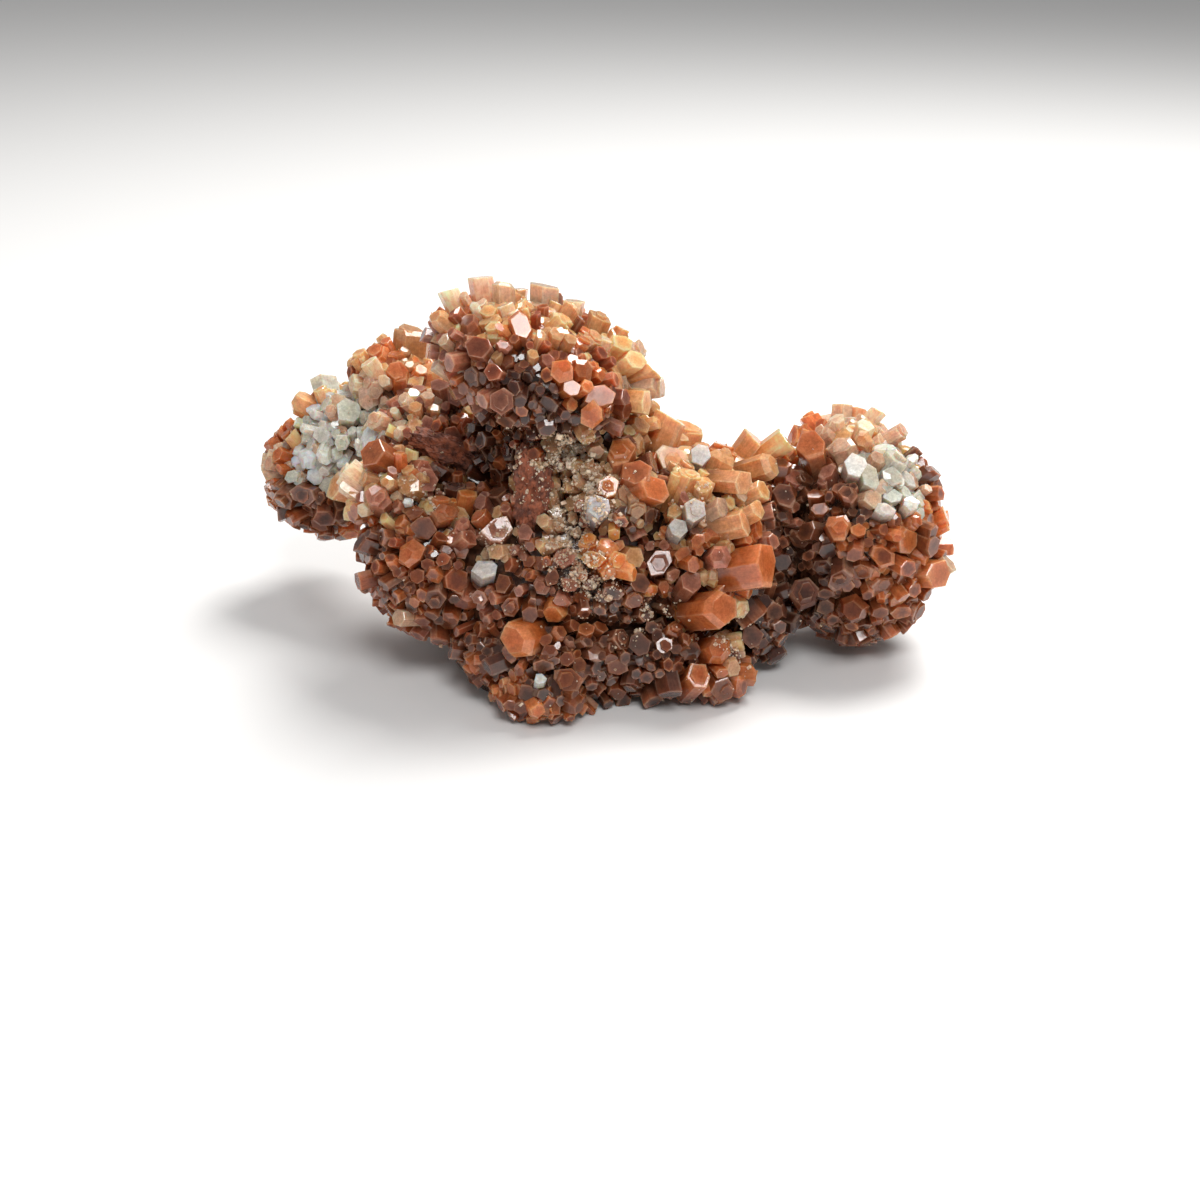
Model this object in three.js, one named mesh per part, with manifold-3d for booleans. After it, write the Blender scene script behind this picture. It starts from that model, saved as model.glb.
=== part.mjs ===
// Crystal cluster: a hand-sized natural group of aragonite crystals that grew as one piece.
// Rounded lobes merge into one mass, and six-sided prisms with flat ends stand out of them on every
// side, each prism pointing away from the middle of the lobe that it grew on.
// +Z is up, the lowest lobes are worn flat at z = 0, and the origin is on that flat.
// Looking along +Y, the tall crown is left of the middle, the big ball is on the right and the
// smaller ball hangs behind on the left.

import * as THREE from 'three';
import { mergeVertices } from 'three/addons/utils/BufferGeometryUtils.js';
import Module from 'manifold-3d';

const wasm = await Module();
wasm.setup();

// Driving dimensions, in millimetres
const CLUSTER_WIDTH = 105;      // the lobes below were sized for a cluster this wide
const UNIT = CLUSTER_WIDTH / 105;
const PRISM_WIDTH = 9.2 * UNIT;     // across the corners of a usual prism
const PRISM_SPACING = 8.4 * UNIT;   // between the ends of neighbouring prisms
const PRISM_ROOT = 6.5 * UNIT;      // how far a prism runs down into its lobe
const RELIEF = 3.2 * UNIT;          // how far the usual prism stands out of its lobe
const LOWEST_PRISM = 1.5 * UNIT;    // no prism ends lower than this
const TRIES_PER_LOBE = 900;         // places looked at on each lobe
const PRISM_TILT = 0.14;            // how far a usual prism's axis strays, as a share of its length
const WIDTH_RANGE = [0.86, 1.16];   // of usual prisms, as shares of PRISM_WIDTH
const HEIGHT_RANGE = [-0.3, 0.5];   // of usual prisms' ends, as shares of RELIEF
const STRETCH_RANGE = [0.84, 1.12]; // how much longer one way than the other a prism's outline is
const CORNER_STRAY = 0.12;          // how far a corner strays around the outline, in radians
const SAME_POINT = 1e-4;            // corners nearer than this, in millimetres, are one
const SEED = 7;

// Each lobe is an ellipsoid. Reach is from its middle out to the prisms' ends, and lean turns it
// about Y, in degrees, so that its top goes to +X.
const LOBES = [
  { name: 'heart', centre: [-6.5, 1, 15], reach: [26, 21, 18.5], lean: 0 },
  { name: 'base', centre: [-5, -3, 3.5], reach: [19, 17, 9], lean: 0 },
  { name: 'left spray', centre: [-25.5, -4, 17.5], reach: [12, 13, 12.5], lean: 0 },
  { name: 'right spray', centre: [12.5, -4, 19.5], reach: [11.5, 14, 14], lean: 0 },
  { name: 'low spray', centre: [-8, -13, 7.5], reach: [15, 11, 8.5], lean: 0 },
  { name: 'low middle', centre: [5, -12, 7], reach: [11, 9, 7.5], lean: 0 },
  { name: 'left foot', centre: [-9.5, -19, 3.5], reach: [8, 8, 6], lean: 0 },
  { name: 'right foot', centre: [14.5, -13, 4.5], reach: [5.5, 6, 6.5], lean: 0 },
  { name: 'shoulder', centre: [-31, -3, 26], reach: [8, 8, 7], lean: 0 },
  { name: 'crown', centre: [-11, -3, 45.5], reach: [16.5, 14, 9.5], lean: 24 },
  { name: 'crown neck', centre: [-7, 1, 34], reach: [15, 12.5, 9], lean: 0 },
  { name: 'neck back', centre: [-9, 7, 33], reach: [13, 11.5, 12], lean: 0 },
  { name: 'neck front', centre: [0, -7, 27.5], reach: [9, 9.5, 8], lean: 0 },
  { name: 'left ball', centre: [-45, 23, 20.5], reach: [10.5, 12, 10], lean: 0 },
  { name: 'left middle', centre: [-41, 21, 26.5], reach: [9.5, 11, 9.5], lean: 0 },
  { name: 'left top', centre: [-33.5, 20, 34], reach: [8.5, 10, 9.5], lean: 0 },
  { name: 'left neck', centre: [-27, 12, 28], reach: [13, 12, 11], lean: 0 },
  { name: 'right ball', centre: [36.5, 6, 17.5], reach: [13.8, 15, 17], lean: 0 },
  { name: 'right top', centre: [35, 9, 28.5], reach: [9.5, 11, 7.5], lean: 0 },
  { name: 'saddle', centre: [15.5, 3, 25], reach: [12, 10, 7.5], lean: 0 },
  { name: 'saddle end', centre: [24, 5, 24.5], reach: [9, 9, 8], lean: 0 },
  { name: 'right neck', centre: [25, 6, 15.5], reach: [9, 10, 14], lean: 0 },
  { name: 'back spray', centre: [-3, 14, 20], reach: [20, 12, 14], lean: 0 },
];

// The large crystals that catch the eye. Azimuth is about +Z from +X towards +Y, elevation is up
// from level, both in degrees from the middle of the lobe. Width is across the corners, and
// proud is how far the end stands past the lobe's reach.
const LARGE_CRYSTALS = [
  { lobe: 'crown', azimuth: 215, elevation: 62, width: 6.5, proud: 2.5 },
  { lobe: 'crown', azimuth: 280, elevation: 66, width: 6.5, proud: 1.5 },
  { lobe: 'crown', azimuth: 185, elevation: 30, width: 5.5, proud: 1.5 },
  { lobe: 'crown', azimuth: 300, elevation: -18, width: 9, proud: 0.5 },
  { lobe: 'left middle', azimuth: 190, elevation: 32, width: 8, proud: 3.5 },
  { lobe: 'left top', azimuth: 260, elevation: 55, width: 8, proud: 1 },
  { lobe: 'shoulder', azimuth: 200, elevation: 5, width: 8, proud: 2 },
  { lobe: 'left spray', azimuth: 265, elevation: 10, width: 8, proud: 1 },
  { lobe: 'heart', azimuth: 285, elevation: 8, width: 10, proud: 1.5 },
  { lobe: 'right spray', azimuth: 320, elevation: -18, width: 10, proud: 1.5 },
  { lobe: 'right spray', azimuth: 345, elevation: 0, width: 11, proud: 1 },
  { lobe: 'right spray', azimuth: 275, elevation: 22, width: 8.5, proud: 1 },
  { lobe: 'low spray', azimuth: 275, elevation: 35, width: 10.5, proud: 1.5 },
  { lobe: 'left foot', azimuth: 300, elevation: 20, width: 7, proud: 0.5 },
  { lobe: 'saddle', azimuth: 270, elevation: 60, width: 8, proud: 1.5 },
  { lobe: 'saddle', azimuth: 330, elevation: 60, width: 8, proud: 1.5 },
  { lobe: 'right top', azimuth: 225, elevation: 20, width: 9.5, proud: 1 },
  { lobe: 'right top', azimuth: 250, elevation: 70, width: 8, proud: 1 },
  { lobe: 'right ball', azimuth: 330, elevation: -5, width: 9.5, proud: 2 },
  { lobe: 'right ball', azimuth: 250, elevation: -22, width: 9, proud: 0.5 },
];

// A repeatable stream of numbers from 0 to 1
function makeRandom(seed) {
  let state = seed;
  return () => {
    state = (state + 0x6d2b79f5) | 0;
    let mixed = Math.imul(state ^ (state >>> 15), 1 | state);
    mixed = (mixed + Math.imul(mixed ^ (mixed >>> 7), 61 | mixed)) ^ mixed;
    return ((mixed ^ (mixed >>> 14)) >>> 0) / 4294967296;
  };
}

const random = makeRandom(SEED);
const between = (low, high) => low + (high - low) * random();

// A closed three.js geometry becomes a solid that can be joined and cut.
function toSolid(geometry) {
  geometry.deleteAttribute('normal');
  geometry.deleteAttribute('uv');
  const merged = mergeVertices(geometry, SAME_POINT);
  return new wasm.Manifold(new wasm.Mesh({
    numProp: 3,
    vertProperties: new Float32Array(merged.attributes.position.array),
    triVerts: new Uint32Array(merged.index.array),
  }));
}

// The triangles of the outer skin alone: prisms that meet can close off tiny pockets between them,
// and those fill with crystal.
function outerSkin(triangles, vertexCount) {
  const parent = Array.from({ length: vertexCount }, (_, vertex) => vertex);
  const find = (vertex) => {
    let top = vertex;
    while (parent[top] !== top) top = parent[top];
    parent[vertex] = top;
    return top;
  };
  for (let start = 0; start < triangles.length; start += 3) {
    const top = find(triangles[start]);
    parent[find(triangles[start + 1])] = top;
    parent[find(triangles[start + 2])] = top;
  }
  const skins = new Map();
  for (let start = 0; start < triangles.length; start += 3) {
    const top = find(triangles[start]);
    if (!skins.has(top)) skins.set(top, []);
    skins.get(top).push(...triangles.subarray(start, start + 3));
  }
  return [...skins.values()].reduce((most, next) => (next.length > most.length ? next : most));
}

function toGeometry(solid) {
  const mesh = solid.getMesh();
  const vertexCount = mesh.vertProperties.length / 3;
  const geometry = new THREE.BufferGeometry();
  geometry.setAttribute('position', new THREE.BufferAttribute(mesh.vertProperties, 3));
  geometry.setIndex(outerSkin(mesh.triVerts, vertexCount));
  geometry.computeVertexNormals();
  return geometry;
}

// Adds what a lobe needs to tell whether a point is inside it and which way its surface faces.
function prepareLobe(lobe) {
  const turn = new THREE.Quaternion().setFromAxisAngle(
    new THREE.Vector3(0, 1, 0), THREE.MathUtils.degToRad(lobe.lean));
  return {
    name: lobe.name,
    centre: new THREE.Vector3(...lobe.centre).multiplyScalar(UNIT),
    reach: new THREE.Vector3(...lobe.reach).multiplyScalar(UNIT),
    turn,
    turnBack: turn.clone().invert(),
  };
}

const lobes = LOBES.map(prepareLobe);

// The point of the lobe's surface in a direction given in the lobe's own axes
function surfacePoint(lobe, direction, inset) {
  const radii = lobe.reach.clone().subScalar(inset);
  return direction.clone().multiply(radii).applyQuaternion(lobe.turn).add(lobe.centre);
}

// The way a prism grows there: between straight out of the middle and square to the surface
function growthAxis(lobe, direction) {
  const outward = direction.clone().multiply(lobe.reach).normalize();
  const square = direction.clone().divide(lobe.reach).normalize();
  return outward.add(square).normalize().applyQuaternion(lobe.turn);
}

function isInside(lobe, point, inset) {
  const radii = lobe.reach.clone().subScalar(inset);
  const local = point.clone().sub(lobe.centre).applyQuaternion(lobe.turnBack).divide(radii);
  return local.length() < 1;
}

// One rounded lobe under the prisms
function lobeSolid(lobe) {
  const ball = new THREE.IcosahedronGeometry(1, 1);
  const radii = lobe.reach.clone().subScalar(RELIEF);
  ball.scale(radii.x, radii.y, radii.z);
  ball.applyQuaternion(lobe.turn);
  ball.translate(lobe.centre.x, lobe.centre.y, lobe.centre.z);
  return toSolid(ball);
}

// One six-sided prism with a flat end, a little uneven as grown crystals are
function prismSolid(end, axis, width, length) {
  const outline = new THREE.Shape();
  const stretch = between(...STRETCH_RANGE);
  const twist = between(0, Math.PI / 3);
  for (let corner = 0; corner < 6; corner += 1) {
    const angle = corner * Math.PI / 3 + between(-CORNER_STRAY, CORNER_STRAY);
    const x = Math.cos(angle) * width / 2 * stretch;
    const y = Math.sin(angle) * width / 2 / stretch;
    if (corner === 0) outline.moveTo(x, y);
    else outline.lineTo(x, y);
  }
  outline.closePath();
  const prism = new THREE.ExtrudeGeometry(outline, { depth: length, bevelEnabled: false });
  prism.translate(0, 0, -length);
  prism.rotateZ(twist);
  prism.applyQuaternion(new THREE.Quaternion().setFromUnitVectors(new THREE.Vector3(0, 0, 1), axis));
  prism.translate(end.x, end.y, end.z);
  return toSolid(prism);
}

function largeCrystal(row) {
  const lobe = lobes.find((candidate) => candidate.name === row.lobe);
  const azimuth = THREE.MathUtils.degToRad(row.azimuth);
  const elevation = THREE.MathUtils.degToRad(row.elevation);
  const direction = new THREE.Vector3(
    Math.cos(elevation) * Math.cos(azimuth),
    Math.cos(elevation) * Math.sin(azimuth),
    Math.sin(elevation));
  const axis = growthAxis(lobe, direction);
  const end = surfacePoint(lobe, direction, 0).addScaledVector(axis, row.proud * UNIT);
  return { end, axis, width: row.width * UNIT };
}

// Prisms spread evenly over what shows of every lobe, none too near another.
function usualCrystals(taken) {
  const crystals = [];
  const goldenAngle = Math.PI * (3 - Math.sqrt(5));
  for (const lobe of lobes) {
    for (let step = 0; step < TRIES_PER_LOBE; step += 1) {
      const height = 1 - 2 * (step + 0.5) / TRIES_PER_LOBE;
      const level = Math.sqrt(1 - height * height);
      const direction = new THREE.Vector3(
        level * Math.cos(step * goldenAngle), level * Math.sin(step * goldenAngle), height);
      const place = surfacePoint(lobe, direction, RELIEF / 2);
      const hidden = lobes.some((other) => other !== lobe && isInside(other, place, RELIEF / 2));
      const crowded = taken.some((other) => other.end.distanceTo(place) < PRISM_SPACING);
      if (hidden || crowded || place.z < LOWEST_PRISM) continue;
      const axis = growthAxis(lobe, direction);
      const stray = new THREE.Vector3(between(-1, 1), between(-1, 1), between(-1, 1));
      axis.addScaledVector(stray, PRISM_TILT).normalize();
      const end = place.clone().addScaledVector(axis, RELIEF * between(...HEIGHT_RANGE));
      const crystal = { end, axis, width: PRISM_WIDTH * between(...WIDTH_RANGE) };
      crystals.push(crystal);
      taken.push({ end: place });
    }
  }
  return crystals;
}

// Everything below z = 0 is worn away.
function groundSolid() {
  const ground = new THREE.BoxGeometry(4 * CLUSTER_WIDTH, 4 * CLUSTER_WIDTH, CLUSTER_WIDTH);
  ground.translate(0, 0, -CLUSTER_WIDTH / 2);
  return toSolid(ground);
}

function crystalClusterGeometry() {
  const large = LARGE_CRYSTALS.map(largeCrystal);
  const crystals = large.concat(usualCrystals([...large]));
  let cluster = lobes.map(lobeSolid).reduce((whole, next) => whole.add(next));
  for (const crystal of crystals) {
    cluster = cluster.add(prismSolid(crystal.end, crystal.axis, crystal.width, PRISM_ROOT));
  }
  return toGeometry(cluster.subtract(groundSolid()));
}

const aragonite = new THREE.MeshStandardMaterial({ color: 0xb0683f, roughness: 0.35, metalness: 0 });

const cluster = new THREE.Mesh(crystalClusterGeometry(), aragonite);
cluster.name = 'crystal_cluster';

const group = new THREE.Group();
group.add(cluster);

export default group;
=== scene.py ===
"""A natural cluster of aragonite crystals: thousands of six-sided prisms on rounded lobes.

Everything is worked out in millimetres in the part's frame and becomes metres when a mesh is made.
"""

import math

import bmesh
import bpy
import numpy as np
from mathutils import Matrix, Vector, noise
from mathutils.bvhtree import BVHTree


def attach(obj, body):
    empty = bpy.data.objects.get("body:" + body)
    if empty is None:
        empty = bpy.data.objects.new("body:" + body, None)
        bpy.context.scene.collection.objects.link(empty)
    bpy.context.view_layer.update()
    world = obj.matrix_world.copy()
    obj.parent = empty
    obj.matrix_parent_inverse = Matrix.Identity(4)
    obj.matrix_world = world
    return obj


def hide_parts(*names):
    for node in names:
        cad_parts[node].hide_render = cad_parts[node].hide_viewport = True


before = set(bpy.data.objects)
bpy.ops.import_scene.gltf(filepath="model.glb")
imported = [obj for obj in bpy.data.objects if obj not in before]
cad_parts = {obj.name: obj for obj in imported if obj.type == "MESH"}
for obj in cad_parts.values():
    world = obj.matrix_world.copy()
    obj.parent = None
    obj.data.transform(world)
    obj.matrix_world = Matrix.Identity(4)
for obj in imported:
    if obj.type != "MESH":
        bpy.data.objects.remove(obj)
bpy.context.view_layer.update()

# Driving sizes: the cluster's nominal width, and the width that the rows below are written for
MM = 0.001
CLUSTER_WIDTH = 105.0
WIDTH_OF_ROWS = 105.0
UNIT = CLUSTER_WIDTH / WIDTH_OF_ROWS

# The mass that the crystals grow out of: how far it lies under a lobe's surface, and how uneven it is
MASS_DEPTH = 3.4 * UNIT
MASS_WOBBLE = 0.35 * UNIT
MASS_WAVES = ((7.1, 5.3, 6.2), (4.9, -8.3, 5.7))
BALL_STEPS = 4

# Where crystals stand: the ends' mean depth under a lobe's surface, the lowest end, the directions
# tried on each lobe, and how near two may come as a share of their widths together
SEED = 11
TRIES = 5200
SINK = 0.7 * UNIT
LOWEST = 0.6 * UNIT
CROWDING = 0.385
TILT = 0.19
WIDTH_SPREAD = 0.25
WIDTH_RANGE = (0.55, 1.55)
END_HEIGHTS = (-1.5, 1.1)
WIDE_STANDS_PROUD = 0.8

# The crystals placed one by one: how far their ends sink, and where along them others keep away
FEATURE_SINK = 0.6 * UNIT
SHAFT_SPOTS = (0.0, 0.45, 0.9)

# The small crystals in the gaps
FILLER_INSET = 0.5 * UNIT
FILLER_GAP = 0.25 * UNIT
FILLER_SPACING = 1.25 * UNIT
FILLER_KEEPS_OFF = 0.47
FILLER_TILT = 0.2
FILLER_WIDTHS = (1.2, 2.0)
FILLER_DEPTHS = (0.4, 1.8)

# One crystal's shape, as shares of its width or half width unless in millimetres. Its corners lie in
# three rings: at the root, at the shoulder under the end, and around the end
SIDES = 6
RINGS = 3
ROOT_DEPTH = 5.0 * UNIT
ROOT_SHARE = 0.35
CUT_SHARE = 0.4
END_SLOPE = 0.13
STRETCH = (0.82, 1.18)
CORNER_TURN = 0.20
CORNER_REACH = (0.86, 1.08)
CUT_DEPTH = (0.12, 0.5)
CUT_TOP = (0.5, 0.85)
PLAIN_DEPTH = 0.06
PLAIN_TOP = 0.94
CUT_SLIDE = 0.8
ROOT_TAPER = 0.96

# What each face knows of its crystal: the end's middle, the axis, a way to a corner, then its half
# width, its mood and 1, and its colours
FACE_FACTS = ("tip", "axis", "side", "facts", "rim", "core")

# Which prisms count as touching when they are put in groups: the reach of the widest corner as a
# share of the width, the places compared along each, and the furthest that two ends can be apart
WIDEST_CORNER = 0.62
TOUCH_MARGIN = 1.1
STATION_SHARES = (0, 0.25, 0.5, 0.75, 1)
CAN_TOUCH = 14.0 * UNIT

# A stepped end and parallel partners: the least width of a crystal with one, in millimetres, how
# often it comes, and its sizes
STEP_LEAST = 2.6 * UNIT
STEP_OFTEN = 0.3
STEP_RISE = (0.15, 0.6)
STEP_SHIFT = 0.08
STEP_WIDTHS = (0.55, 0.8)
STEP_LENGTH = 1.2 * UNIT
PARTNER_LEAST = 2.3 * UNIT
PARTNER_OFTEN = 0.32
PARTNER_SHIFT = (0.40, 0.60)
PARTNER_DROP = (0.1, 1.1)
PARTNER_WIDTHS = (0.42, 0.68)

# The lobes of the CAD solid, and low_neck, which only fills a gap beside the right foot: middle,
# reach out to the crystals' ends, lean about Y in degrees, the width across the corners of a usual
# crystal there, and which way the crystals there sweep
LOBES = {
    "heart": ((-6.5, 1, 15), (26, 21, 18.5), 0, 2.5, (0, 0, 0)),
    "base": ((-5, -3, 3.5), (19, 17, 9), 0, 2.5, (0, 0, 0)),
    "left_spray": ((-25.5, -4, 17.5), (12, 13, 12.5), 0, 2.5, (-0.2, 0, 0.1)),
    "right_spray": ((12.5, -4, 19.5), (11.5, 14, 14), 0, 3.0, (0.5, 0.1, 0.1)),
    "low_spray": ((-8, -13, 7.5), (15, 11, 8.5), 0, 2.5, (0, 0, 0)),
    "low_middle": ((5, -12, 7), (11, 9, 7.5), 0, 2.4, (0, 0, 0)),
    "left_foot": ((-9.5, -19, 3.5), (8, 8, 6), 0, 2.5, (0.1, 0, -0.2)),
    "right_foot": ((14.5, -13, 4.5), (5.5, 6, 6.5), 0, 2.8, (0.4, 0, -0.1)),
    "shoulder": ((-31, -3, 26), (8, 8, 7), 0, 2.9, (-0.3, 0, 0.2)),
    "crown": ((-11, -3, 45.5), (16.5, 14, 9.5), 24, 2.35, (0, 0, 0.15)),
    "crown_neck": ((-7, 1, 34), (15, 12.5, 9), 0, 2.2, (0, 0, 0)),
    "neck_back": ((-9, 7, 33), (13, 11.5, 12), 0, 2.6, (0, 0, 0)),
    "neck_front": ((0, -7, 27.5), (9, 9.5, 8), 0, 2.3, (0, 0, 0)),
    "left_ball": ((-45, 23, 20), (10.8, 12, 10.5), 0, 2.9, (0, 0, 0)),
    "left_middle": ((-41, 21, 26.5), (9.5, 11, 9.5), 0, 3.1, (0, 0, 0)),
    "left_top": ((-33.5, 20, 34), (8.5, 10, 9.5), 0, 3.1, (0, 0, 0)),
    "left_neck": ((-27, 12, 28), (13, 12, 11), 0, 2.7, (0, 0, 0)),
    "right_ball": ((36.5, 6, 17.5), (13.8, 15, 17), 0, 2.75, (0.1, 0, 0)),
    "right_top": ((35, 9, 28.5), (9.5, 11, 7.5), 0, 3.0, (0, 0, 0)),
    "saddle": ((15.5, 3, 25), (12, 10, 7.5), 0, 3.0, (0.7, 0.1, 0.4)),
    "saddle_end": ((24, 5, 24.5), (9, 9, 8), 0, 3.0, (0.5, 0, 0.5)),
    "right_neck": ((25, 6, 15.5), (9, 10, 14), 0, 2.6, (0, 0, 0)),
    "low_neck": ((20.5, -2.5, 8.0), (7, 8.5, 7.5), 0, 2.6, (0, 0, 0)),
    "back_spray": ((-3, 14, 20), (20, 12, 14), 0, 2.8, (0, 0, 0)),
}

# Crystal colours, each the rim's and the core's: linear red, green and blue. A rim's lightness is partly
# the crystal's zoning, partly painted light through its thin edges
COLOURS = {
    "red_brown": ((0.45, 0.138, 0.060), (0.21, 0.047, 0.016)),
    "orange": ((0.76, 0.275, 0.100), (0.55, 0.130, 0.030)),
    "bright_orange": ((1.00, 0.400, 0.140), (0.93, 0.250, 0.060)),
    "rust": ((0.52, 0.160, 0.054), (0.17, 0.038, 0.012)),
    "honey": ((0.92, 0.560, 0.300), (0.78, 0.340, 0.120)),
    "cream": ((0.92, 0.660, 0.480), (0.84, 0.500, 0.310)),
    "pale_green": ((0.85, 0.810, 0.710), (0.72, 0.690, 0.580)),
    "smoky": ((0.33, 0.115, 0.055), (0.062, 0.020, 0.010)),
    "lilac_brown": ((0.58, 0.235, 0.145), (0.29, 0.095, 0.052)),
    # Painted light: white for ends that glint towards the viewer, and for light mixed into pale patches
    # in shade
    "painted_light_white": ((0.92, 0.86, 0.810), (0.86, 0.79, 0.730)),
    # Painted shade: the colour of the necks under and between lobes and of shaded low patches
    "painted_shade_dark": ((0.13, 0.038, 0.019), (0.050, 0.013, 0.007)),
    "crust": ((0.86, 0.500, 0.280), (0.62, 0.310, 0.150)),
}

# The finish, first of the crystals: how the core's and rim's zones run, in half widths on the end and
# in millimetres on a side, then the painted highlights on thin edges, the streaks, veils and blotches
# as least and most brightness, the painted shade towards the root, and the near-black painted shade
# of the mass in the gaps. MARKED, MOOD and the root shade's start and end are a slope and a start,
# MARKED and MOOD over a crystal's mood, the root shade's over its half width. A bump is a strength
# and a height in metres, a glow is how far red, green and blue reach, times a depth in metres
SEED_SHIFT = 37.0
LEAST_HALF = 0.2
SIDE_SHARE = 0.866
ZONE_WAVER = 0.9
CAP_ZONE = (0.25, 1.10)
SIDE_ZONE = (3.0, 0.0)
SIDE_CLOUD = (0.65, 1.1)
MARKED = (0.65, 0.25)
PLAIN_RIM = 0.4
# Painted highlights on the thin edges: their colour, paleness and strength
EDGE_LIGHT_COLOUR = (0.95, 0.72, 0.52, 1)
EDGE_LIGHT_PALENESS = 0.45
EDGE_LIGHT_STRENGTH = 0.36
LINES_ACROSS = 5.0
LINES_ALONG = 0.5
LINES_HEIGHT = 0.6
LUMPS_HEIGHT = 0.6
STREAK = (0.91, 1.08)
VEIL = (0.86, 1.12)
MOOD = (0.5, 0.75)
BLOTCH_SPAN = (0.3, 0.75)
BLOTCH = (0.84, 1.12)
SHINE_SPAN = (0.25, 0.8)
# Painted shade towards the roots: where it starts and ends, how strong it is and its colour
ROOT_SHADE_START = (0.8, 0.6)
ROOT_SHADE_END = (2.0, 1.8)
ROOT_SHADE_STRENGTH = 0.65
ROOT_SHADE_COLOUR = (0.045, 0.017, 0.009, 1)
MASS_GRAIN = (0.35, 0.7)
# Painted shade: the two near-black colours of the mass in the gaps
GAP_SHADE_COLOURS = ((0.035, 0.014, 0.008, 1), (0.12, 0.05, 0.026, 1))
FACES_ALONG = (0.75, 0.95)
# Where the painted edge highlights lie: at the end's rim, at the side's corners and at the side's top
CAP_EDGE_LIGHT = (0.84, 0.98)
SIDE_EDGE_LIGHT = (0.93, 1.03)
TOP_EDGE_LIGHT = (0.35, 0.0)
CRYSTAL_ROUGHNESS = (0.03, 0.20)
CRYSTAL_BUMP = (0.10, 0.0002)
CRYSTAL_IOR = 1.6
CRYSTAL_GLOW = (1.0, 0.55, 0.35)
CRYSTAL_GLOW_DEPTH = 0.0020
CRYSTAL_GLOW_SHARE = 1.0
CRYSTAL_CLEARNESS = 0.35
IRON_COLOURS = ((0.085, 0.023, 0.012, 1), (0.34, 0.098, 0.044, 1))
IRON_BLOTCH = (0.35, 0.68)
IRON_ROUGHNESS = (0.5, 0.85)
IRON_BUMP = (0.6, 0.0003)
SUGAR_COLOURS = ((0.42, 0.26, 0.16, 1), (0.80, 0.63, 0.47, 1))
SUGAR_SPECKLE = (0.35, 0.65)
SUGAR_ROUGHNESS = (0.2, 0.5)
SUGAR_GLOW = (1.0, 0.7, 0.5)
SUGAR_GLOW_DEPTH = 0.0006
SUGAR_GLOW_SHARE = 0.6

# Noises: scale, detail and roughness, and the part of a noise's range that a ramp usually spans
CLOUD_NOISE = (0.55, 3.0)
FINE_NOISE = (2.6, 4.0, 0.6)
LUMP_NOISE = (1.4, 2.0)
LINE_NOISE = (1.0, 3.0)
VEIL_NOISE = (1.1, 3.0, 0.6)
MASS_NOISE = (900.0, 4.0)
IRON_NOISE = (700.0, 5.0, 0.65)
IRON_SHINE_NOISE = (1600.0,)
IRON_BUMP_NOISE = (2200.0, 4.0, 0.6)
SUGAR_NOISE = (1400.0, 2.0)
SUGAR_SHINE_NOISE = (2600.0,)
MIDDLE = (0.3, 0.7)

# How often each colour comes on a lobe
LOBE_COLOURS = {
    "heart": {"rust": 4, "red_brown": 3, "smoky": 2, "lilac_brown": 2, "orange": 1},
    "base": {"rust": 3, "smoky": 4, "red_brown": 2},
    "left_spray": {"rust": 6, "red_brown": 2, "orange": 1, "smoky": 3},
    "right_spray": {"orange": 7, "honey": 3, "lilac_brown": 3},
    "low_spray": {"rust": 5, "red_brown": 2, "smoky": 4},
    "low_middle": {"smoky": 5, "rust": 3, "painted_shade_dark": 2},
    "left_foot": {"rust": 5, "orange": 3, "red_brown": 2},
    "right_foot": {"orange": 5, "rust": 4},
    "shoulder": {"orange": 3, "honey": 5, "cream": 2, "lilac_brown": 2},
    "crown": {"red_brown": 8, "orange": 2, "lilac_brown": 1, "rust": 3},
    "crown_neck": {"painted_shade_dark": 6, "rust": 2, "smoky": 2},
    "neck_back": {"rust": 4, "red_brown": 4, "smoky": 2, "orange": 1},
    "neck_front": {"crust": 4, "painted_shade_dark": 3, "rust": 2, "smoky": 2},
    "left_ball": {"rust": 3, "orange": 3, "lilac_brown": 2, "smoky": 2},
    "left_middle": {"pale_green": 4, "cream": 3, "orange": 1},
    "left_top": {"orange": 4, "honey": 3, "red_brown": 3},
    "left_neck": {"red_brown": 4, "lilac_brown": 3, "rust": 3},
    "right_ball": {"orange": 3, "rust": 6, "smoky": 3},
    "right_top": {"cream": 4, "honey": 3, "pale_green": 2},
    "saddle": {"honey": 7, "orange": 2, "cream": 1},
    "saddle_end": {"honey": 6, "orange": 3, "rust": 1},
    "right_neck": {"smoky": 5, "rust": 3, "painted_shade_dark": 2},
    "low_neck": {"smoky": 4, "rust": 3, "painted_shade_dark": 4},
    "back_spray": {"orange": 4, "rust": 3, "honey": 2, "smoky": 1},
}

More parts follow.
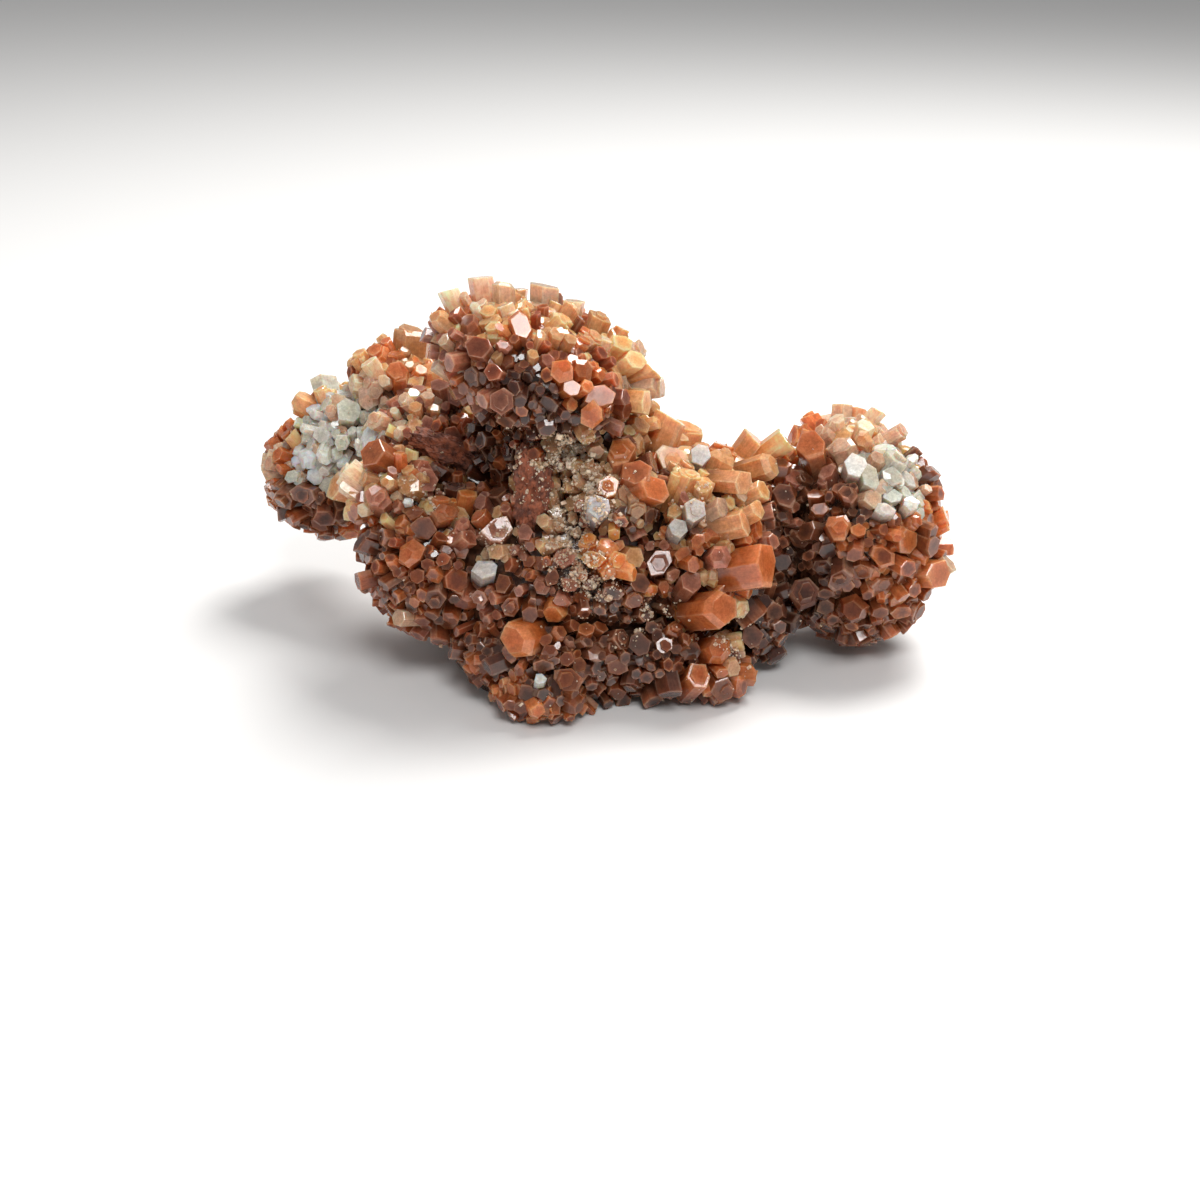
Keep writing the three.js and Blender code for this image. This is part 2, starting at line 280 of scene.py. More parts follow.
# Patches of one colour, each at a pixel of the 1200 x 1200 photograph with a radius in millimetres
PATCHES = [
    # The first three patches, along the crown's right rim and top, are partly the crystals' own honey and
    # cream, partly painted light for the backlit rim
    ((640, 350), 7.5, {"honey": 5, "cream": 3}),
    ((650, 385), 6.0, {"honey": 6, "cream": 2}),
    ((500, 288), 6.5, {"cream": 3, "honey": 4, "orange": 1}),
    ((435, 350), 5.5, {"lilac_brown": 4, "cream": 3, "honey": 1}),
    ((400, 395), 6.5, {"cream": 4, "lilac_brown": 4, "honey": 2}),
    ((585, 405), 6.0, {"orange": 5, "rust": 2}),
    ((480, 410), 6.5, {"lilac_brown": 3, "smoky": 3, "rust": 3}),
    # The next two patches paint the shade in the neck under the crown
    ((540, 425), 9.0, {"painted_shade_dark": 6, "rust": 2, "smoky": 1}),
    ((470, 440), 8.0, {"painted_shade_dark": 5, "rust": 3}),
    # The next two patches mix white into the pale green as painted light on the left, which lies in shade
    ((335, 430), 9.5, {"pale_green": 6, "cream": 1, "painted_light_white": 4}),
    ((320, 470), 7.5, {"pale_green": 5, "cream": 2, "painted_light_white": 3}),
    ((365, 385), 5.5, {"cream": 6, "painted_light_white": 1}),
    ((395, 345), 6.5, {"honey": 5, "orange": 3}),
    ((300, 515), 8.5, {"rust": 5, "lilac_brown": 1, "smoky": 4}),
    ((265, 455), 6.0, {"cream": 3, "orange": 4}),
    ((370, 470), 7.0, {"orange": 2, "lilac_brown": 2, "honey": 5, "cream": 4}),
    ((604, 560), 4.0, {"bright_orange": 6, "orange": 2}),
    ((570, 505), 7.5, {"crust": 6, "lilac_brown": 1}),
    ((580, 455), 5.5, {"crust": 5, "smoky": 2}),
    ((490, 515), 7.5, {"lilac_brown": 6, "smoky": 1, "crust": 4, "orange": 3}),
    ((690, 570), 8.0, {"lilac_brown": 3, "orange": 6, "honey": 3}),
    # This patch paints shade low in the middle
    ((620, 640), 8.5, {"smoky": 7, "rust": 2}),
    ((560, 670), 6.5, {"rust": 3, "smoky": 3}),
    ((735, 465), 8.0, {"honey": 8, "cream": 1}),
    ((660, 425), 6.0, {"honey": 8, "orange": 1}),
    ((740, 640), 5.0, {"crust": 4, "smoky": 3}),
    # The next three patches paint the shade on the right ball's left and lower side
    ((800, 500), 8.5, {"smoky": 5, "rust": 3, "lilac_brown": 2}),
    ((790, 570), 9.0, {"smoky": 6, "painted_shade_dark": 3}),
    ((810, 625), 9.0, {"smoky": 6, "painted_shade_dark": 5}),
    ((890, 455), 7.5, {"pale_green": 6, "cream": 2}),
    ((915, 475), 6.5, {"pale_green": 6, "cream": 1}),
    ((850, 425), 7.0, {"cream": 5, "honey": 4}),
    ((800, 435), 5.5, {"orange": 6, "honey": 2}),
    ((910, 570), 9.0, {"orange": 5, "rust": 6}),
    ((880, 630), 8.0, {"orange": 2, "rust": 6, "smoky": 2}),
]

# The crystals that catch the eye: the end's pixel in the photograph, how far it stands out of the
# lobe and its width in millimetres, the colour, and its axis as right, up and towards the viewer,
# which is the same for those whose end throws the light back
GLINT_AIM = (0.10, 0.28, 0.95)
FEATURES = [
    ((756, 563), 2.4, 6.4, "orange", (0.88, 0.14, 0.45)),
    ((711, 600), 3.2, 5.4, "orange", (0.62, 0.08, 0.78)),
    ((719, 557), 1.2, 3.8, "lilac_brown", (0.25, 0.10, 0.95)),
    ((690, 580), 1.2, 3.6, "lilac_brown", (0.20, 0.35, 0.90)),
    ((520, 642), 2.4, 5.0, "orange", (-0.45, -0.15, 0.88)),
    ((606, 546), 1.9, 3.2, "bright_orange", (0.10, 0.70, 0.70)),
    ((592, 560), 1.8, 3.0, "bright_orange", (-0.30, 0.10, 0.95)),
    ((616, 562), 2.2, 3.2, "bright_orange", (0.50, 0.10, 0.85)),
    ((630, 572), 2.4, 2.8, "bright_orange", (0.80, -0.20, 0.55)),
    ((608, 572), 1.8, 2.8, "bright_orange", (0.30, -0.40, 0.85)),
    ((618, 450), 1.5, 4.6, "orange", (0.00, 0.55, 0.80)),
    ((634, 474), 1.2, 4.4, "orange", (0.20, 0.35, 0.90)),
    ((652, 490), 1.5, 4.2, "orange", (0.60, 0.20, 0.75)),
    ((608, 487), 0.9, 3.4, "orange", (0.10, 0.20, 0.95)),
    ((815, 446), 1.8, 5.2, "orange", (-0.25, 0.50, 0.83)),
    ((936, 573), 1.2, 4.8, "orange", (0.75, -0.05, 0.65)),
    ((300, 404), 1.6, 4.6, "honey", (-0.85, 0.45, 0.10)),
    ((405, 328), 1.2, 6.0, "honey", (0.10, 0.95, 0.20)),
    ((478, 276), 1.8, 4.0, "cream", (-0.15, 0.95, 0.25)),
    ((541, 285), 1.6, 4.4, "cream", (0.05, 0.95, 0.35)),
    ((618, 322), 1.6, 3.4, "honey", (0.60, 0.75, 0.35)),
    ((636, 338), 2.0, 3.6, "cream", (0.80, 0.50, 0.40)),
    ((648, 358), 2.2, 4.0, "honey", (0.88, 0.30, 0.40)),
    ((632, 362), 1.4, 3.6, "honey", (0.60, 0.30, 0.75)),
    ((651, 382), 2.2, 3.8, "cream", (0.90, 0.05, 0.42)),
    ((640, 402), 1.6, 3.6, "honey", (0.75, -0.15, 0.62)),
    ((620, 345), 1.2, 3.2, "honey", (0.40, 0.45, 0.80)),
    ((598, 312), 1.2, 3.4, "honey", (0.35, 0.85, 0.35)),
    ((572, 300), 1.2, 3.2, "cream", (0.20, 0.92, 0.30)),
    ((505, 288), 1.4, 3.2, "cream", (0.00, 0.95, 0.30)),
    ((452, 296), 1.6, 3.4, "cream", (-0.40, 0.85, 0.30)),
    ((437, 318), 1.2, 3.2, "honey", (-0.70, 0.55, 0.40)),
    ((598, 396), 1.2, 4.0, "orange", (0.20, 0.10, 0.97)),
    ((588, 414), 1.4, 3.8, "orange", (-0.10, -0.20, 0.97)),
    ((562, 371), 1.2, 3.4, "orange", (0.10, 0.10, 0.98)),
    ((521, 325), 1.0, 3.8, "orange", (0.05, 0.30, 0.95)),
    ((456, 397), 1.0, 3.4, "lilac_brown", (-0.10, 0.00, 0.98)),
    ((503, 401), 1.0, 3.6, "lilac_brown", (0.00, 0.00, 1.00)),
    ((806, 592), 1.1, 4.8, "smoky", (-0.10, 0.05, 0.98)),
    ((855, 606), 1.1, 4.6, "rust", (0.10, 0.00, 0.98)),
    ((839, 526), 1.1, 4.2, "orange", (0.00, 0.10, 0.98)),
    ((782, 448), 2.2, 4.2, "honey", (0.70, 0.50, 0.50)),
    ((765, 470), 2.0, 4.0, "honey", (0.75, 0.20, 0.60)),
    ((738, 488), 1.8, 4.0, "honey", (0.65, -0.10, 0.70)),
    ((752, 446), 1.8, 4.6, "honey", (0.55, 0.75, 0.30)),
    ((688, 430), 1.6, 4.8, "honey", (0.25, 0.80, 0.50)),
    ((664, 420), 1.8, 4.6, "honey", (0.35, 0.90, 0.20)),
    ((672, 462), 1.2, 4.6, "honey", (0.10, 0.30, 0.95)),
    ((412, 553), 1.2, 4.0, "orange", (-0.05, 0.10, 0.98)),
    ((694, 672), 1.6, 4.0, "orange", (0.30, 0.40, 0.85)),
    ((718, 652), 1.6, 4.4, "orange", (0.40, 0.10, 0.90)),
    ((375, 458), 1.6, 4.6, "orange", (-0.50, 0.30, 0.80)),
    ((337, 478), 2.4, 4.6, "honey", (-0.90, 0.20, 0.35)),
    ((381, 497), 1.4, 3.8, "lilac_brown", (0.00, 0.30, 0.95)),
    ((398, 618), 0.6, 2.8, "cream", (-0.70, 0.00, 0.70)),
    ((660, 562), 1.2, 4.0, "lilac_brown", (0.00, 0.10, 0.98)),
    ((566, 680), 1.0, 3.8, "rust", (0.00, 0.00, 1.00)),
    ((448, 513), 1.2, 3.6, "orange", (0.30, 0.30, 0.90)),
    ((500, 530), 1.2, 4.2, "lilac_brown", (0.10, 0.30, 0.95)),
    # The white ends in the rows below are painted highlights, on ends turned to glint
    ((487, 568), 0.9, 3.5, "painted_light_white", GLINT_AIM),
    ((600, 505), 2.0, 3.4, "painted_light_white", GLINT_AIM),
    ((694, 511), 0.9, 3.4, "painted_light_white", GLINT_AIM),
    ((678, 528), 0.9, 3.0, "painted_light_white", GLINT_AIM),
    ((671, 446), 0.9, 2.0, "painted_light_white", GLINT_AIM),
    ((700, 456), 0.9, 3.4, "painted_light_white", GLINT_AIM),
    # This cream end is a painted highlight, the glint at the tip of the long orange crystal on the right
    # ball
    ((945, 562), 1.4, 3.0, "cream", (0.60, 0.45, 0.65)),
    ((540, 679), 1.0, 1.8, "painted_light_white", (0.10, 0.45, 0.88)),
    ((885, 509), 0.9, 2.6, "painted_light_white", GLINT_AIM),
    ((910, 503), 0.9, 2.6, "painted_light_white", GLINT_AIM),
    ((856, 468), 1.2, 4.0, "painted_light_white", (0.00, 0.30, 0.95)),
    ((870, 478), 1.0, 3.4, "pale_green", (0.10, 0.30, 0.95)),
    ((408, 501), 1.0, 1.5, "painted_light_white", (0.00, 0.40, 0.90)),
    ((526, 533), 1.2, 2.4, "lilac_brown", (0.00, 0.20, 0.98)),
]

# Sugary crusts: the middle's pixel, the radius in millimetres and the number of grains. Then how
# grains gather in clumps, the grains' half sizes, and the rays that set them on the surface
CRUSTS = [
    ((575, 462), 4.5, 700),
    ((592, 500), 4.0, 420),
    ((570, 545), 4.5, 380),
    ((590, 590), 3.5, 160),
    ((515, 470), 4.0, 120),
    ((562, 445), 3.5, 260),
    ((565, 510), 3.0, 260),
    ((575, 575), 3.0, 200),
    ((490, 540), 3.5, 100),
    ((735, 640), 3.5, 160),
    ((640, 620), 4.5, 140),
    ((430, 480), 3.5, 90),
    ((705, 500), 3.0, 70),
]
LONE_GRAINS = 36
GRAINS_IN_CLUMP = 20
CLUMP_SPREAD = 0.8 * UNIT
CLUMP_SCATTER = 0.5
CRUST_GRAIN = 0.15
LONE_GRAIN = 0.12
GRAIN_SPREAD = 0.5
GRAIN_REACH = (0.35, 0.75)
GRAIN_UNEVEN = (0.75, 1.1)
GRAIN_SINK = 0.25
RAY_START = 5.0 * UNIT
RAY_LENGTH = 11.0 * UNIT

# Ragged lumps of iron-stained clay: the middle's pixel, the half sizes across, towards the viewer
# and up in millimetres, and the lean to the right in degrees. Then how deep they sit, as a share
# of their depth, how ragged they are in large and in small, and the noises that make them so
IRON_LUMPS = [
    ((534, 478), (2.7, 2.6, 5.2), -6),
    ((450, 452), (5.2, 2.6, 2.4), 24),
    ((528, 508), (1.8, 1.8, 3.0), 10),
]
IRON_SINK = 0.35
IRON_RAGGED = (0.30, 0.10)
IRON_STEPS = 5
IRON_SCALES = (1.7, 7)
IRON_FRACTAL = (0.7, 2.2, 6)
IRON_APART = (9.0, 3.0, 5.0)

# The photograph's camera: its place in millimetres, and in degrees how far it is turned to the left
# of +Y, points down and is rolled. Then its focal length in pixels, and how a pixel off the lobes is
# moved in steps towards the middle of the cluster
CAMERA_PLACE = (0.0, -246.9, 116.2)
CAMERA_TURN = 0.43
CAMERA_DOWN = 23.49
CAMERA_ROLL = 0.86
IMAGE_WIDTH = 1200
FOCAL_PIXELS = 1809.6
SENSOR_WIDTH = 36.0
CLIP_RANGE = (0.01, 50)
SEARCH_TARGET = (590.0, 500.0)
SEARCH_STEP = 1.5
SEARCH_STEPS = 40

# The floor and the lights, in metres and watts: each light's place, size, power and colour
FLOOR_SIZE = 12.0
FLOOR_GAP = 0.00005
FLOOR_COLOUR = (0.74, 0.735, 0.73, 1)
FLOOR_ROUGHNESS = 0.6
LIGHT_TARGET = (0, 0, 0.025)
KEY_LIGHT = ((0.20, 0.26, 0.60), 0.36, 6.2, (1.0, 0.99, 0.97))
FILL_LIGHT = ((0.10, -0.48, 0.60), 0.30, 3.5, (1.0, 1.0, 1.0))
WORLD_COLOUR = (1.0, 1.0, 1.0, 1)
WORLD_STRENGTH = 0.33

# Colours: how often a crystal that points up is honey, partly its own colour and partly painted light for
# the lit top, and how much the brightness and the hue vary
LIT_TOP_POINTS_UP = 0.72
LIT_TOP_HONEY_OFTEN = 0.45
PATCH_EDGE = (0.9, 1.15)
BRIGHTNESS_SPREAD = 0.10
HUE_SPREAD = 0.02

rng = np.random.default_rng(SEED)


def unit(vectors):
    """The same vectors at length one."""
    vectors = np.asarray(vectors, float)
    return vectors / np.linalg.norm(vectors, axis=-1, keepdims=True)


def lean_matrix(degrees):
    """A turn about Y that takes +Z towards +X."""
    angle = math.radians(degrees)
    c, s = math.cos(angle), math.sin(angle)
    return np.array([[c, 0, s], [0, 1, 0], [-s, 0, c]])


class Lobe:
    """An ellipsoid that crystals grow out of."""

    def __init__(self, name, middle, reach, lean, grain, sweep):
        self.name = name
        self.middle = np.array(middle, float) * UNIT
        self.reach = np.array(reach, float) * UNIT
        self.turn = lean_matrix(lean)
        self.grain = grain * UNIT
        self.sweep = np.array(sweep, float)

    def surface(self, directions, inset):
        """Points of the surface, moved in by inset, for directions in the lobe's own axes."""
        return self.middle + (directions * (self.reach - inset)) @ self.turn.T

    def outward(self, directions):
        """Between straight out of the middle and square to the surface."""
        radial = unit(directions * self.reach)
        square = unit(directions / self.reach)
        return unit(unit(radial + square) @ self.turn.T + self.sweep)

    def level(self, point):
        """How far out a point is: 1 at the surface, less inside."""
        return np.linalg.norm((point - self.middle) @ self.turn / self.reach)

    def covers(self, points, inset):
        """Whether each point is inside the surface moved in by inset."""
        local = (points - self.middle) @ self.turn / (self.reach - inset)
        return (local ** 2).sum(axis=1) < 1


lobes = [Lobe(name, *row) for name, row in LOBES.items()]


def golden_directions(count):
    """Directions spread evenly over a sphere."""
    step = np.arange(count) + 0.5
    height = 1 - 2 * step / count
    level = np.sqrt(1 - height ** 2)
    angle = step * math.pi * (3 - math.sqrt(5))
    return np.stack([level * np.cos(angle), level * np.sin(angle), height], axis=1)


def camera_axes():
    """The camera's right, up and forward, and its place in millimetres."""
    turn, down, roll = (math.radians(angle) for angle in (CAMERA_TURN, CAMERA_DOWN, CAMERA_ROLL))
    level = np.array((math.cos(turn), math.sin(turn), 0))
    ahead = np.array((-math.sin(turn), math.cos(turn), 0))
    forward = ahead * math.cos(down) - np.array((0, 0, math.sin(down)))
    upright = np.cross(level, forward)
    right = level * math.cos(roll) + upright * math.sin(roll)
    return right, np.cross(right, forward), forward, np.array(CAMERA_PLACE)


def seen_point(pixel):
    """The first point of the lobes that a pixel of the photograph shows."""
    right, up, forward, place = camera_axes()
    half = IMAGE_WIDTH / 2
    ray = forward + (pixel[0] - half) / FOCAL_PIXELS * right - (pixel[1] - half) / FOCAL_PIXELS * up
    ray = unit(ray)
    nearest, found = None, None
    for index, lobe in enumerate(lobes):
        start = (place - lobe.middle) @ lobe.turn / lobe.reach
        step = ray @ lobe.turn / lobe.reach
        a, b, c = step @ step, 2 * start @ step, start @ start - 1
        inside = b * b - 4 * a * c
        if inside < 0:
            continue
        distance = (-b - math.sqrt(inside)) / (2 * a)
        if nearest is None or distance < nearest:
            nearest, found = distance, index
    if nearest is None:
        return None
    return place + ray * nearest, found


def nearest_surface(pixel):
    """As seen_point, but a pixel just off the outline takes the nearest point towards the middle."""
    target = np.array(SEARCH_TARGET)
    spot = np.array(pixel, float)
    for _ in range(SEARCH_STEPS):
        hit = seen_point(spot)
        if hit is not None:
            return hit
        spot = spot + unit(target - spot) * SEARCH_STEP
    raise ValueError(f"no lobe near pixel {pixel}")


def lobe_axis(lobe, point):
    """The way a crystal grows at a point of a lobe's surface."""
    direction = unit((point - lobe.middle) @ lobe.turn / lobe.reach)
    return lobe.outward(direction[None])[0]


def feature_crystals():
    """Ends, axes, widths, lobes and colours of the crystals that catch the eye."""
    right, up, forward, _ = camera_axes()
    rows = []
    for pixel, proud, width, colour, aim in FEATURES:
        point, index = nearest_surface(pixel)
        axis = unit(aim[0] * right + aim[1] * up - aim[2] * forward)
        outward = lobe_axis(lobes[index], point)
        tip = point + outward * (proud * UNIT - FEATURE_SINK)
        rows.append((tip, axis, width * UNIT, index, colour))
    return rows


def open_surface(lobe, inset):
    """Directions out of a lobe, the surface there, and whether it is clear of the ground and the rest."""
    directions = golden_directions(TRIES)
    surface = lobe.surface(directions, inset)
    shown = surface[:, 2] > LOWEST
    for other in lobes:
        if other is not lobe:
            shown &= ~other.covers(surface, inset)
    return directions, surface, shown


def scatter_crystals(taken):
    """Crystals on what shows of every lobe, no two nearer than their widths allow."""
    places, axes, widths, owners = [], [], [], []
    for index, lobe in enumerate(lobes):
        directions, surface, shown = open_surface(lobe, SINK)
        directions = directions[shown]
        places.append(surface[shown])
        axes.append(lobe.outward(directions))
        share = rng.lognormal(0.0, WIDTH_SPREAD, len(directions))
        widths.append(lobe.grain * share.clip(*WIDTH_RANGE))
        owners.append(np.full(len(directions), index))
    places, axes = np.concatenate(places), np.concatenate(axes)
    widths, owners = np.concatenate(widths), np.concatenate(owners)
    count = len(taken) * len(SHAFT_SPOTS)
    kept_places = np.zeros((len(places) + count, 3))
    kept_widths = np.zeros(len(kept_places))
    for number, (tip, axis, width, _, _) in enumerate(taken):
        for step, share in enumerate(SHAFT_SPOTS):
            slot = number * len(SHAFT_SPOTS) + step
            kept_places[slot] = tip - axis * (FEATURE_SINK + share * width)
            kept_widths[slot] = width
    rows = []
    for candidate in rng.permutation(len(places)):
        gap = np.linalg.norm(kept_places[:count] - places[candidate], axis=1)
        room = CROWDING * (kept_widths[:count] + widths[candidate])
        if (gap <= room).any():
            continue
        kept_places[count] = places[candidate]
        kept_widths[count] = widths[candidate]
        count += 1
        width = widths[candidate]
        axis = unit(axes[candidate] + rng.normal(0, TILT, 3))
        big = (width / lobes[owners[candidate]].grain - 1) * WIDE_STANDS_PROUD
        tip = places[candidate] + axis * (rng.uniform(*END_HEIGHTS) + big) * UNIT
        rows.append((tip, axis, width, owners[candidate], None))
    return rows + filler_crystals(kept_places[:count], kept_widths[:count])


def filler_crystals(ends, widths):
    """Small low crystals in the gaps between the others."""
    rows = []
    for index, lobe in enumerate(lobes):
        directions, surface, shown = open_surface(lobe, SINK + FILLER_INSET)
        own = np.zeros((0, 3))
        axes = lobe.outward(directions)
        for number in np.nonzero(shown)[0]:
            place = surface[number]
            gap = np.linalg.norm(ends - place, axis=1) - widths * FILLER_KEEPS_OFF
            if gap.min() < FILLER_GAP:
                continue
            if len(own) and np.linalg.norm(own - place, axis=1).min() < FILLER_SPACING:
                continue
            own = np.vstack([own, place])
            axis = unit(axes[number] + rng.normal(0, FILLER_TILT, 3))
            width = rng.uniform(*FILLER_WIDTHS) * UNIT
            tip = place - axis * rng.uniform(*FILLER_DEPTHS) * UNIT
            rows.append((tip, axis, width, index, None))
    return rows


def pick(weights):
    """One of the names, as often as its weight says."""
    names = list(weights)
    share = np.array([weights[name] for name in names], float)
    return names[rng.choice(len(names), p=share / share.sum())]


def patch_centres():
    """Each patch's middle on the lobes, its radius and its colours."""
    return [(nearest_surface(pixel)[0], radius * UNIT, colours) for pixel, radius, colours in PATCHES]


def colour_name(tip, axis, owner, patches):
    """The colour of a crystal: of the nearest patch that holds it, or else of its lobe."""
    best, chosen = 1.0, None
    for middle, radius, colours in patches:
        reach = np.linalg.norm(tip - middle) / radius * rng.uniform(*PATCH_EDGE)
        if reach < best:
            best, chosen = reach, colours
    if chosen is None:
        chosen = LOBE_COLOURS[lobes[owner].name]
        # A crystal that points up is sometimes honey: partly its own colour, partly painted light for the
        # lit top
        if axis[2] > LIT_TOP_POINTS_UP and rng.random() < LIT_TOP_HONEY_OFTEN:
            return "honey"
    return pick(chosen)


class Prism:
    """One six-sided prism: its end's middle, axis, a direction to a corner, width and length."""

    def __init__(self, tip, axis, side, width, length, crystal):
        self.tip = tip
        self.axis = axis
        self.side = side
        self.width = width
        self.length = length
        self.crystal = crystal


def across(axis):
    """A random direction square to the axis."""
    other = rng.normal(0, 1, 3)
    return unit(other - axis * (other @ axis))


def grow(tip, axis, width, crystal, usual):
    """A crystal's prisms: the main one, sometimes a stepped end, sometimes parallel partners."""
    side = across(axis)
    length = ROOT_DEPTH + ROOT_SHARE * width
    prisms = [Prism(tip, axis, side, width, length, crystal)]
    if width > STEP_LEAST and rng.random() < STEP_OFTEN:
        rise = rng.uniform(*STEP_RISE) * UNIT
        shift = across(axis) * width * rng.uniform(0.0, STEP_SHIFT)
        step_width = width * rng.uniform(*STEP_WIDTHS)
        prisms.append(Prism(tip + axis * rise + shift, axis, side, step_width, STEP_LENGTH, crystal))
    if usual and width > PARTNER_LEAST and rng.random() < PARTNER_OFTEN:
        for _ in range(rng.integers(1, 3)):
            shift = across(axis) * width * rng.uniform(*PARTNER_SHIFT)
            drop = rng.uniform(*PARTNER_DROP) * UNIT
            partner_width = width * rng.uniform(*PARTNER_WIDTHS)
            end = tip + shift - axis * drop
            prisms.append(Prism(end, axis, side, partner_width, length - drop, crystal))
    return prisms


def disjoint_sets(prisms):
    """The prisms in groups within which none touches another, so that each group joins in one go."""
    tips = np.array([prism.tip for prism in prisms])
    axes = np.array([prism.axis for prism in prisms])
    lengths = np.array([prism.length for prism in prisms])
    radii = np.array([prism.width for prism in prisms]) * WIDEST_CORNER
    stations = [tips - axes * (lengths * share)[:, None] for share in STATION_SHARES]
    stations = np.stack(stations)
    group = np.full(len(prisms), -1)
    for number in range(len(prisms)):
        near = np.linalg.norm(tips[:number] - tips[number], axis=1) < CAN_TOUCH
        others = np.nonzero(near)[0]
        apart = stations[:, None, others] - stations[None, :, number, None]
        room = (radii[others] + radii[number]) * TOUCH_MARGIN
        touching = np.linalg.norm(apart, axis=3).min(axis=(0, 1)) < room
        used = set(group[others[touching]])
        group[number] = next(choice for choice in range(len(prisms)) if choice not in used)
    members = [np.nonzero(group == choice)[0] for choice in range(group.max() + 1)]
    return [[prisms[number] for number in numbers] for numbers in members]


def prism_points(prisms):
    """The corners of each prism, ring by ring from the root to the end."""
    count = len(prisms)
    tips = np.array([prism.tip for prism in prisms])
    axes = np.array([prism.axis for prism in prisms])
    sides = np.array([prism.side for prism in prisms])
    backs = np.cross(axes, sides)
    half = np.array([prism.width for prism in prisms]) / 2
    length = np.array([prism.length for prism in prisms])
    stretch = rng.uniform(*STRETCH, count)
    angle = np.arange(SIDES) * 2 * math.pi / SIDES
    angle = angle + rng.uniform(-CORNER_TURN, CORNER_TURN, (count, SIDES))
    corner_reach = rng.uniform(*CORNER_REACH, (count, SIDES))
    slope = rng.normal(0, END_SLOPE, (count, 2))
    x = np.cos(angle) * stretch[:, None] * corner_reach
    y = np.sin(angle) / stretch[:, None] * corner_reach
    cut = rng.random(count) < CUT_SHARE
    rim_depth = half * np.where(cut, rng.uniform(*CUT_DEPTH, count), PLAIN_DEPTH)
    top_share = np.where(cut, rng.uniform(*CUT_TOP, count), PLAIN_TOP)
    way = rng.uniform(0, 2 * math.pi, count)
    slide = cut * (1 - top_share) * CUT_SLIDE
    slides = np.stack([np.cos(way), np.sin(way)], axis=1) * slide[:, None]
    still = np.zeros((count, 2))
    root = (half * ROOT_TAPER, length, still)
    shoulder = (half, rim_depth, still)
    end = (half * top_share, half * 0, slides)
    layers = []
    for step, (radius, depth, moved) in enumerate((root, shoulder, end)):
        across_x = x * radius[:, None] + (moved[:, 0] * half)[:, None]
        across_y = y * radius[:, None] + (moved[:, 1] * half)[:, None]
        flat = across_x[..., None] * sides[:, None] + across_y[..., None] * backs[:, None]
        drop = depth[:, None] + (step > 0) * (across_x * slope[:, :1] + across_y * slope[:, 1:])
        layers.append(tips[:, None] + flat - axes[:, None] * drop[..., None])
    return np.stack(layers, axis=1).reshape(-1, 3)


def prism_faces(count):
    """Each face's corners in a row, the faces' sizes, and the prism that each face belongs to."""
    corner = np.arange(SIDES)
    following = (corner + 1) % SIDES
    band = np.stack([corner, following, following + SIDES, corner + SIDES], axis=1)
    quads = np.concatenate([band, band + SIDES])
    first = np.arange(count) * RINGS * SIDES
    quad_faces = (quads[None] + first[:, None, None]).reshape(-1, 4)
    caps = np.stack([corner + (RINGS - 1) * SIDES, corner[::-1]])
    cap_faces = (caps[None] + first[:, None, None]).reshape(-1, SIDES)
    loops = np.concatenate([quad_faces.ravel(), cap_faces.ravel()])
    sizes = np.concatenate([np.full(len(quad_faces), 4), np.full(len(cap_faces), SIDES)])
    numbers = np.arange(count)
    owner = np.concatenate([np.repeat(numbers, len(quads)), np.repeat(numbers, len(caps))])
    return loops, sizes, owner


def prism_mesh(name, prisms, crystals):
    """One mesh of separate prisms, each face knowing its crystal."""
    points = prism_points(prisms)
    loops, sizes, owner = prism_faces(len(prisms))
    mesh = bpy.data.meshes.new(name)
    mesh.vertices.add(len(points))
    mesh.vertices.foreach_set("co", points.ravel())
    mesh.loops.add(len(loops))
    mesh.loops.foreach_set("vertex_index", loops)
    mesh.polygons.add(len(sizes))
    mesh.polygons.foreach_set("loop_start", np.concatenate([[0], np.cumsum(sizes)[:-1]]))
    mesh.polygons.foreach_set("loop_total", sizes)
    mesh.update(calc_edges=True)
    half = [prism.width / 2 for prism in prisms]
    moods = [crystals[prism.crystal]["mood"] for prism in prisms]
    facts = {
        "tip": np.array([prism.tip for prism in prisms]) * MM,
        "axis": np.array([prism.axis for prism in prisms]),
        "side": np.array([prism.side for prism in prisms]),
        "facts": np.stack([half, moods, np.ones(len(prisms))], axis=1),
        "rim": np.array([crystals[prism.crystal]["rim"] for prism in prisms]),
        "core": np.array([crystals[prism.crystal]["core"] for prism in prisms]),
    }
    for label in FACE_FACTS:
        layer = mesh.attributes.new(label, "FLOAT_VECTOR", "FACE")
        layer.data.foreach_set("vector", facts[label][owner].astype(np.float32).ravel())
    return mesh


def lobe_mesh(lobe):
    """The rounded mass between and under a lobe's crystals, which the crystals' material colours near
    black as painted shade in the gaps.
    """
    ball = bmesh.new()
    bmesh.ops.create_icosphere(ball, subdivisions=BALL_STEPS, radius=1.0)
    for vertex in ball.verts:
        direction = np.array(vertex.co)
        first_wave, second_wave = (math.sin(direction @ wave) for wave in MASS_WAVES)
        wobble = MASS_WOBBLE * first_wave * second_wave
        vertex.co = lobe.surface(direction[None], MASS_DEPTH + wobble)[0]
    mesh = bpy.data.meshes.new(lobe.name)
    ball.to_mesh(mesh)
    ball.free()
    for label in FACE_FACTS:
        mesh.attributes.new(label, "FLOAT_VECTOR", "FACE")
    return mesh


